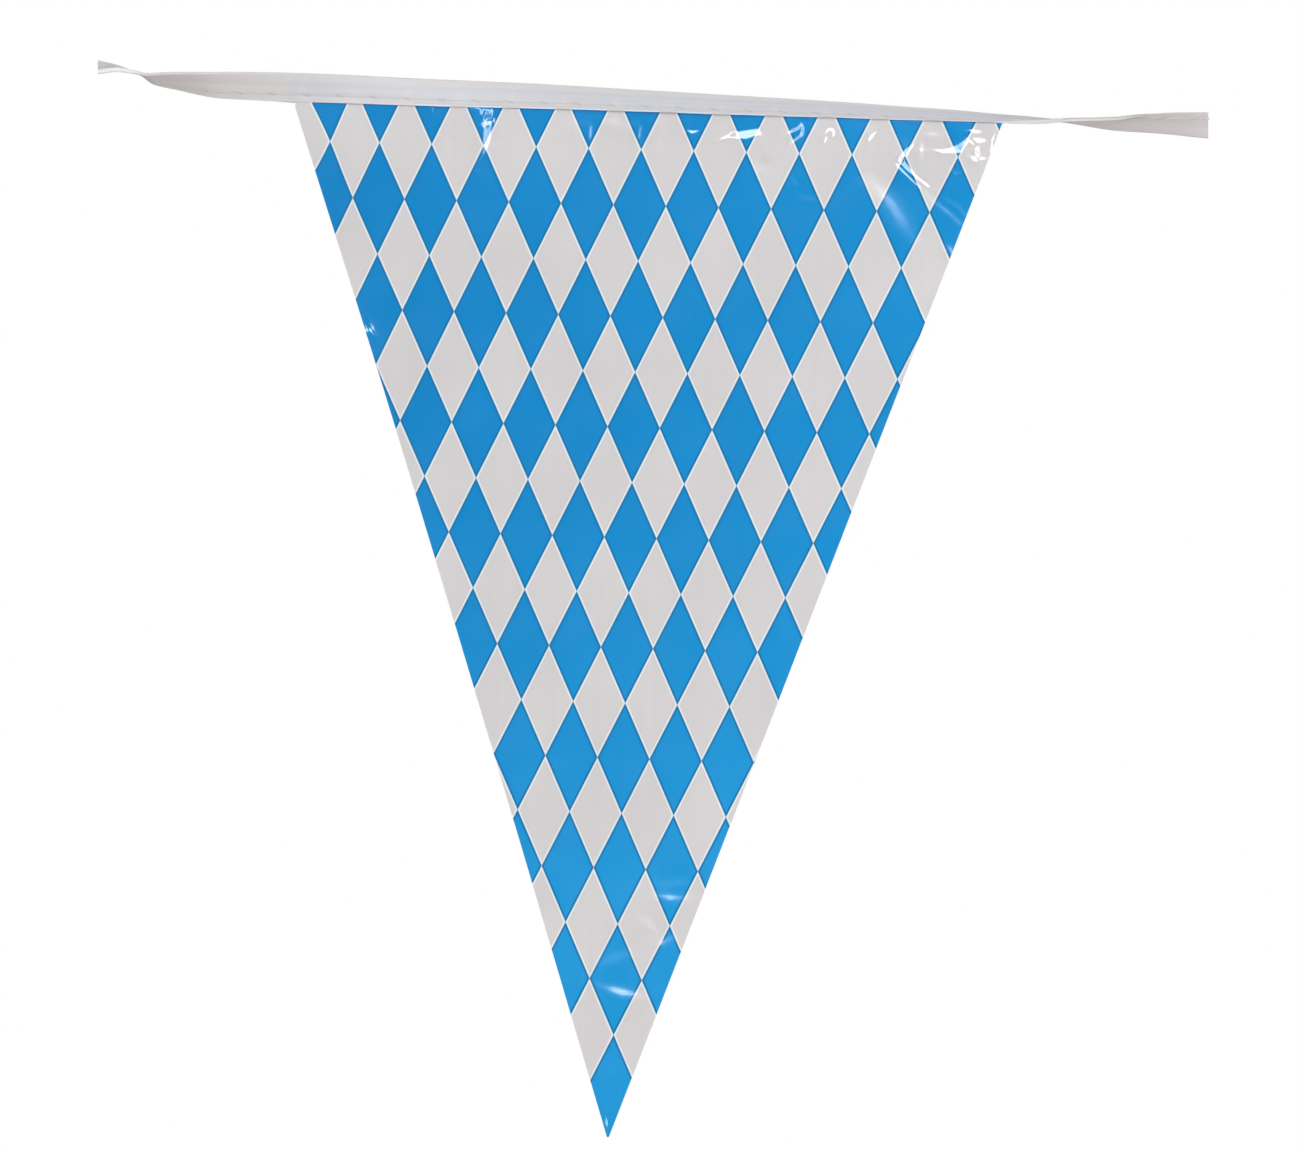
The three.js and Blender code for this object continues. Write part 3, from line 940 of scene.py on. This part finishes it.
def make_pennant():
    """The pennant's film: a thin closed sheet on its slow shape, with all its creases."""
    down = divided(ROW_STEPS, CUT_HEIGHT)
    starts = column(ROW_STEPS, "start")
    every = [ROW_STEPS[i]["every"] for i in np.searchsorted(starts, down, "right") - 1]
    share = (divided(COLUMN_STEPS, CUT_RIGHT, COARSEST) - CUT_LEFT) / (CUT_RIGHT - CUT_LEFT)
    down = down[:, None]
    left, right = cut_left_edge(down), cut_right_edge(down)
    left = left + CORNER_CUT["wide"] * (1 - smooth_step(down, MARGIN, CORNER_CUT["to_down"]))
    across = left + (right - left) * share[None, :]
    down = np.broadcast_to(down, across.shape)
    kept, sides, walls = closed_sheet(across.shape, every)
    across, down = across[kept], down[kept]

    middle, normal = film_middle(across, down), film_normal(across, down)
    height = relief(across, down)[:, None]
    points = np.concatenate([middle + normal * (height + FILM / 2), middle + normal * (height - FILM / 2)])
    cut = np.tile(np.stack([across, down], -1), (2, 1))
    is_back = np.arange(len(points)) >= len(across)
    baked = pennant_bake_map(cut[:, 0], cut[:, 1], is_back)
    inset = cut + RIM_INSET * np.sign(np.array([CUT_TIP, CUT_HEIGHT / 2]) - cut)
    baked_rim = pennant_bake_map(*np.where(is_back[:, None], inset, cut).T, False)
    bake_corners = np.concatenate([corner_values(baked, sides), corner_values(baked_rim, walls)])
    maps = {CUT_MAP: corner_values(printed_place(cut) * MM, sides + walls), BAKE_MAP: bake_corners}
    return mesh_object("pennant_film", points, sides + walls, maps, printed_film())


SECTION_STEP = 0.6
LEAF_STEPS = 26
CURL_STEPS = 12
FOLD_STEPS = 7
PRESSED_STEPS = 3

# The fold's pressed face looks up this many degrees from level and keeps this far off the leaves, in
# radians. The back leaf has got over its width at a share of the way to its lip.
PRESSED_FACES_UP = 14
PRESSED_KEEPS_OFF = 0.3
LEAST_PRESSED = 0.06
PRESSED_GONE_AT = 0.8

# Dimples at the needle holes, the empty tape's leaves, which close up past the pennant, and its lips
NEEDLE_DIMPLE = {"depth": 0.2, "long": 2, "wide": 0.42, "slant": 9}
EMPTY = {"from": 103, "to": 109, "open": -3.4, "closed": -0.5, "gap": 0.1}
LIP_WAVE = {"height": 0.05, "length": 23}
LIP_CURL = {"length": 1.35, "bend": 0.7, "angle": 88}


def from_stitch(x):
    """Distance along the tape from the nearest needle hole, less than zero on its left."""
    steps = (x - STITCH_AT) / STITCH
    return STITCH * (steps - np.round(steps))


def leaf_offset(x, place):
    """Half the space between the leaves at a place across the tape, dimpled at the needle holes."""
    slant = math.radians(NEEDLE_DIMPLE["slant"])
    along, over = rotated(from_stitch(x), place - SEAM_FROM_MIDDLE, -slant)
    dimple = np.exp(-((along / NEEDLE_DIMPLE["long"]) ** 2) - (over / NEEDLE_DIMPLE["wide"]) ** 2)
    lips = LIP_WAVE["height"] * np.sin(2 * np.pi * x / LIP_WAVE["length"])
    lips = lips * smooth_step(place, SEAM_FROM_MIDDLE, LIP)
    apart = leaf_gap(place) - NEEDLE_DIMPLE["depth"] * dimple + lips
    empty = smooth_step(np.abs(x), EMPTY["from"], EMPTY["to"])
    empty = empty * smooth_step(place, EMPTY["open"], EMPTY["closed"])
    return np.maximum(apart * (1 - empty) + EMPTY["gap"] * empty, TAPE_FILM / 2)


def front_leaf(x):
    """Places and offsets of the front leaf from its lip to the fold, the lip curled over the opening."""
    curl_from = LIP - LIP_CURL["length"]
    shares = np.linspace(1, 0, CURL_STEPS, endpoint=False)
    turns = np.radians(LIP_CURL["angle"]) * lip_curl(x)
    step = LIP_CURL["length"] / CURL_STEPS
    bends = turns[:, None] * smooth_step(step * (np.arange(CURL_STEPS) + 0.5), 0, LIP_CURL["bend"])
    reach = curl_from + step * np.cumsum(np.cos(bends), 1)[:, ::-1]
    lowered = step * np.cumsum(np.sin(bends), 1)[:, ::-1]
    flat = np.linspace(curl_from, FOLD_CENTRE, LEAF_STEPS - CURL_STEPS, endpoint=False)
    places = np.concatenate([reach, np.broadcast_to(flat, (len(x), len(flat)))], 1)
    nominal = np.concatenate([curl_from + LIP_CURL["length"] * shares, flat])
    offsets = leaf_offset(x[:, None], np.minimum(nominal, LIP))
    offsets[:, :CURL_STEPS] -= lowered
    return places, offsets, nominal


def fold(x):
    """Places and offsets round the fold, with a flat pressed face that turns with the tape."""
    reach = leaf_offset(x, FOLD_CENTRE)
    pressed_at = math.radians(PRESSED_FACES_UP) - tape_angle(x)[:, None]
    pressed_at = np.clip(pressed_at, PRESSED_KEEPS_OFF, math.pi - PRESSED_KEEPS_OFF)
    width = np.maximum(pressed_width(x), LEAST_PRESSED)[:, None]
    before = np.linspace(0, 1, FOLD_STEPS, endpoint=False) * pressed_at
    during = pressed_at + np.zeros(PRESSED_STEPS + 1)
    after = pressed_at + np.linspace(0, 1, FOLD_STEPS)[1:] * (math.pi - pressed_at)
    turn = np.concatenate([before, during, after], 1)
    across_face = np.linspace(0, 1, PRESSED_STEPS + 1)
    moved = np.concatenate([np.zeros(FOLD_STEPS), across_face, np.ones(FOLD_STEPS - 1)])
    places = FOLD_CENTRE - FOLD_RADIUS * np.sin(turn) - np.cos(pressed_at) * width * moved
    offsets = reach[:, None] * np.cos(turn) - np.sin(pressed_at) * width * moved
    nominal = FOLD_CENTRE - FOLD_RADIUS * np.sin(np.linspace(0, math.pi, turn.shape[1]))
    return places, offsets, nominal


def tape_section(x):
    """The folded tape's section at each x, from the front lip round the fold to the back lip."""
    front, around = front_leaf(x), fold(x)
    share = np.linspace(0, 1, LEAF_STEPS + 1)[1:]
    start = around[0][:, -1:]
    end = LIP + back_leaf_past(x)[:, None]
    places = start + (end - start) * share
    pressed_apart = around[1][:, -1:] + leaf_offset(x, FOLD_CENTRE)[:, None]
    offsets = pressed_apart * (1 - smooth_step(share, 0, PRESSED_GONE_AT)) - leaf_offset(x[:, None], places)
    back = places, offsets, FOLD_CENTRE + (TAPE_WIDTH - FOLD_RADIUS) * share
    return [np.concatenate(parts, -1) for parts in zip(front, around, back)]


def section_points(x, places, offsets):
    """The section's points in space: the tape as it turns, its back leaf drooping with the pennant."""
    points = tape_point(x[:, None], places, offsets)
    fading = smooth_step(np.abs(x[:, None]), DROOP_FULL_TO, DROOP_NONE_FROM)
    back = slice(-LEAF_STEPS, None)
    points[:, back] = drooped(x[:, None], places[:, back] - DROOP_FROM, offsets[:, back], fading)
    for row in END_SLANTS:
        near_end = np.maximum(1 - np.abs(x - row["x"]) / END_SLANT_LENGTH, 0)[:, None]
        height = points[..., 2] - points[..., 2].mean(1, keepdims=True)
        points[..., 0] += near_end * (row["by_depth"] * points[..., 1] + row["by_height"] * height)
    return points


def make_tape():
    """The heading tape: one thin film folded lengthwise, turning as it runs."""
    x = np.linspace(-TAPE_END, TAPE_END, round(2 * TAPE_END / SECTION_STEP) + 1)
    places, offsets, lengths = tape_section(x)
    run, rise = np.gradient(places, axis=1), np.gradient(offsets, axis=1)
    size = np.hypot(run, rise) * 2 / TAPE_FILM
    outside = section_points(x, places + rise / size, offsets - run / size)
    inside = section_points(x, places - rise / size, offsets + run / size)
    points = np.concatenate([outside.reshape(-1, 3), inside.reshape(-1, 3)])
    _, sides, walls = closed_sheet(outside.shape[:2], [1] * len(x))
    flat = np.stack(np.broadcast_arrays(x[:, None], lengths[None, :]), -1).reshape(-1, 2)
    maps = {TAPE_MAP: corner_values(np.tile(flat, (2, 1)) * MM, sides + walls)}
    return mesh_object("folded_tape", points, sides + walls, maps, tape_film())


THREAD_STEP = 0.6
THREAD_SIDES = 8
THREAD_STANDS = 0.3
THREAD_DIVE = {"half_length": 0.7, "to": 0.02}


def make_seam_thread():
    """Two threads, one on each leaf, that dive through the needle holes to meet each other."""
    x = np.linspace(-TAPE_END, TAPE_END, round(2 * TAPE_END / THREAD_STEP) + 1)
    diving = np.exp(-((from_stitch(x) / THREAD_DIVE["half_length"]) ** 2))
    around = np.linspace(0, 2 * np.pi, THREAD_SIDES, endpoint=False)
    resting = leaf_offset(x, SEAM_FROM_MIDDLE) + TAPE_FILM / 2 + THREAD_RADIUS * THREAD_STANDS
    apart = resting - (resting - THREAD_DIVE["to"]) * diving
    points, faces = [], []
    for i, side in enumerate((1, -1)):
        places = SEAM_FROM_MIDDLE + THREAD_RADIUS * np.sin(around)[None, :]
        heights = apart[:, None] * side + THREAD_RADIUS * np.cos(around)[None, :]
        points.append(tape_point(x[:, None], places, heights).reshape(-1, 3))
        index = np.arange(len(x) * THREAD_SIDES).reshape(len(x), THREAD_SIDES) + i * len(points[0])
        turned = np.roll(index, -1, axis=1)
        faces.append(np.stack([index[:-1], index[1:], turned[1:], turned[:-1]], -1).reshape(-1, 4))
    steps = np.arange(THREAD_SIDES)
    u = np.stack([x[:-1], x[1:], x[1:], x[:-1]], -1)[:, None] * MM
    v = np.stack([steps, steps, steps + 1, steps + 1], -1)[None] / THREAD_SIDES
    corners = np.stack(np.broadcast_arrays(u, v), -1).reshape(-1, 2)
    maps = {THREAD_MAP: np.tile(corners, (2, 1))}
    return mesh_object("seam_thread", np.concatenate(points), faces, maps, sewing_thread())


# A round pale floor under the hanging pennant, which fades out at its rim
FLOOR_DROP = 150
FLOOR_RADIUS = 700
FLOOR_SIDES = 96
FLOOR_COLOUR = (0.86, 0.8, 0.76, 1)
FLOOR_FADE = {"from": 0.55, "to": 0.98}


def make_floor():
    shader = Shader(bpy.data.materials.new("pale_floor"))
    place = shader.add("ShaderNodeTexCoord").outputs["Object"]
    from_middle = shader.add("ShaderNodeVectorMath", {0: place}, operation="LENGTH").outputs["Value"]
    fading = shader.spread(from_middle, FLOOR_FADE["from"] * FLOOR_RADIUS, FLOOR_FADE["to"] * FLOOR_RADIUS)
    pale = shader.add("ShaderNodeBsdfDiffuse", {"Color": FLOOR_COLOUR}).outputs[0]
    clear = shader.add("ShaderNodeBsdfTransparent").outputs[0]
    mixed = shader.add("ShaderNodeMixShader", {0: fading, 1: pale, 2: clear}).outputs[0]
    turns = np.linspace(0, 2 * np.pi, FLOOR_SIDES, endpoint=False)
    points = FLOOR_RADIUS * np.stack([np.cos(turns), np.sin(turns), 0 * turns], -1)
    floor = mesh_object("pale_floor", points, [np.arange(FLOOR_SIDES)[None]], {}, shader.finish(mixed))
    floor.location = (0, 0, cad_box[0].z - FLOOR_DROP * MM)


# Where the camera stands, from the pennant's middle. The picture is 1304 pixels wide.
CAMERA = {"distance": 1200, "azimuth": 2.8, "elevation": 0.9, "roll": 1.83}
CAMERA_AIM = Vector((5.1, -2.37, -136.14)) * MM
PICTURE_WIDTH = 1304
FOCAL_PIXELS = 4270
SENSOR = 36


def direction(azimuth, elevation):
    """From the object, azimuth 0 is towards the viewer and 90 to the right."""
    turn, rise = math.radians(azimuth), math.radians(elevation)
    return Vector((math.sin(turn) * math.cos(rise), -math.cos(turn) * math.cos(rise), math.sin(rise)))


def seen_axes(towards, turned=0):
    """What looks right and up from that side, both turned anticlockwise by so many radians."""
    right = (-towards).cross(Vector((0, 0, 1))).normalized()
    up = right.cross(-towards)
    cos, sin = math.cos(turned), math.sin(turned)
    return right * cos + up * sin, up * cos - right * sin


def placed(place, right, up, back):
    """The matrix of an object at a place, with its own three axes along these."""
    return Matrix.Translation(place) @ Matrix((right, up, back)).transposed().to_4x4()


def make_camera():
    towards = direction(CAMERA["azimuth"], CAMERA["elevation"])
    right, up = seen_axes(towards, math.radians(CAMERA["roll"]))
    data = bpy.data.cameras.new("camera")
    data.sensor_width = SENSOR
    data.lens = FOCAL_PIXELS / PICTURE_WIDTH * SENSOR
    place = CAMERA_AIM + towards * CAMERA["distance"] * MM
    bpy.context.scene.camera = add_object("camera", data, placed(place, right, up, towards))


# Soft boxes in rings round the direction that the flat film mirrors to the camera, so that only film
# tilted by about 20 degrees shines: a wide weak ring, a middle one and a hot core, seen in gloss alone.
# The shares go from the top to the right, as the camera sees them. The last ring lights the back.
FRONT_RING = {"azimuth": -2.8, "elevation": -7, "opening": 42, "long": 0.85, "gloss_only": True}
LIGHT_RINGS = [
    {**FRONT_RING, "name": "wide", "distance": 1.51, "wide": 0.65, "strength": 1.8,
     "shares": [1, 1, 1, 1, 0.9, 0.8, 0.9, 1]},
    {**FRONT_RING, "name": "middle", "distance": 1.5, "wide": 0.5, "strength": 3.2,
     "shares": [1.15, 1.15, 1.15, 0.95, 0.85, 0.75, 0.8, 0.95]},
    {**FRONT_RING, "name": "core", "distance": 1.49, "wide": 0.22, "strength": 3.4,
     "shares": [1, 1.15, 1.15, 0.85, 0.8, 0.75, 0.75, 0.9]},
    {"azimuth": 182.8, "elevation": 1, "opening": 55, "long": 1, "gloss_only": False,
     "name": "back", "distance": 1.6, "wide": 0.4, "strength": 2,
     "shares": [0.3, 0.6, 1, 0.8, 0.5, 0.8, 1, 0.6]},
]

# The main light, soft and from above, and a weak one under the tape's right end are left out of the
# gloss. The rest comes from the pale room.
MAIN_LIGHT = {"azimuth": 12, "elevation": 28, "distance": 1.7, "size": 1.1, "strength": 13}
LOW_LIGHT = {"place": (320, -390, -110), "aim": (150, 0, -5), "size": 0.12, "strength": 0.12}
ROOM_LIGHT = {"even": 0.54, "in_gloss": 0.02}


def area_light(name, strength, long, wide, matrix):
    data = bpy.data.lights.new(name, "AREA")
    data.shape = "RECTANGLE"
    data.size, data.size_y = long, wide
    data.energy = strength
    light = add_object(name, data, matrix)
    light.visible_camera = False
    return light


def make_dull_light(name, place, aim, row):
    """A square light that no gloss mirrors."""
    turned = (place - aim).to_track_quat("Z", "Y").to_matrix().to_4x4()
    matrix = Matrix.Translation(place) @ turned
    area_light(name, row["strength"], row["size"], row["size"], matrix).visible_glossy = False


def make_lights():
    for ring in LIGHT_RINGS:
        axis = direction(ring["azimuth"], ring["elevation"])
        opening = math.radians(ring["opening"])
        for i, share in enumerate(ring["shares"]):
            along, out = seen_axes(axis, -2 * math.pi * i / len(ring["shares"]))
            towards = axis * math.cos(opening) + out * math.sin(opening)
            matrix = placed(CAMERA_AIM + towards * ring["distance"], along, towards.cross(along), towards)
            strength = ring["strength"] * share
            light = area_light(f"{ring['name']}_{i}", strength, ring["long"], ring["wide"], matrix)
            light.visible_diffuse = not ring["gloss_only"]

    towards = direction(MAIN_LIGHT["azimuth"], MAIN_LIGHT["elevation"])
    make_dull_light("main", CAMERA_AIM + towards * MAIN_LIGHT["distance"], CAMERA_AIM, MAIN_LIGHT)
    make_dull_light("low", Vector(LOW_LIGHT["place"]) * MM, Vector(LOW_LIGHT["aim"]) * MM, LOW_LIGHT)


def make_room():
    """A pale room all round that looks white, lights everything evenly and hardly shows in gloss."""
    shader = Shader(bpy.data.worlds.new("pale_room"))
    path = shader.add("ShaderNodeLightPath")

    def room(strength):
        inputs = {"Color": (1, 1, 1, 1), "Strength": strength}
        return shader.add("ShaderNodeBackground", inputs).outputs[0]

    shown = room(ROOM_LIGHT["in_gloss"])
    for strength, ray in ((ROOM_LIGHT["even"], "Is Diffuse Ray"), (1, "Is Camera Ray")):
        inputs = {0: path.outputs[ray], 1: shown, 2: room(strength)}
        shown = shader.add("ShaderNodeMixShader", inputs).outputs[0]
    bpy.context.scene.world = shader.finish(shown, "ShaderNodeOutputWorld")


make_camera()
pennant = make_pennant()
tape = make_tape()
thread = make_seam_thread()
make_floor()
make_lights()
make_room()
bpy.context.scene.view_settings.view_transform = "Standard"

for piece in (pennant, tape, thread):
    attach(piece, "root")
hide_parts("pennant")
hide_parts("heading_tape")
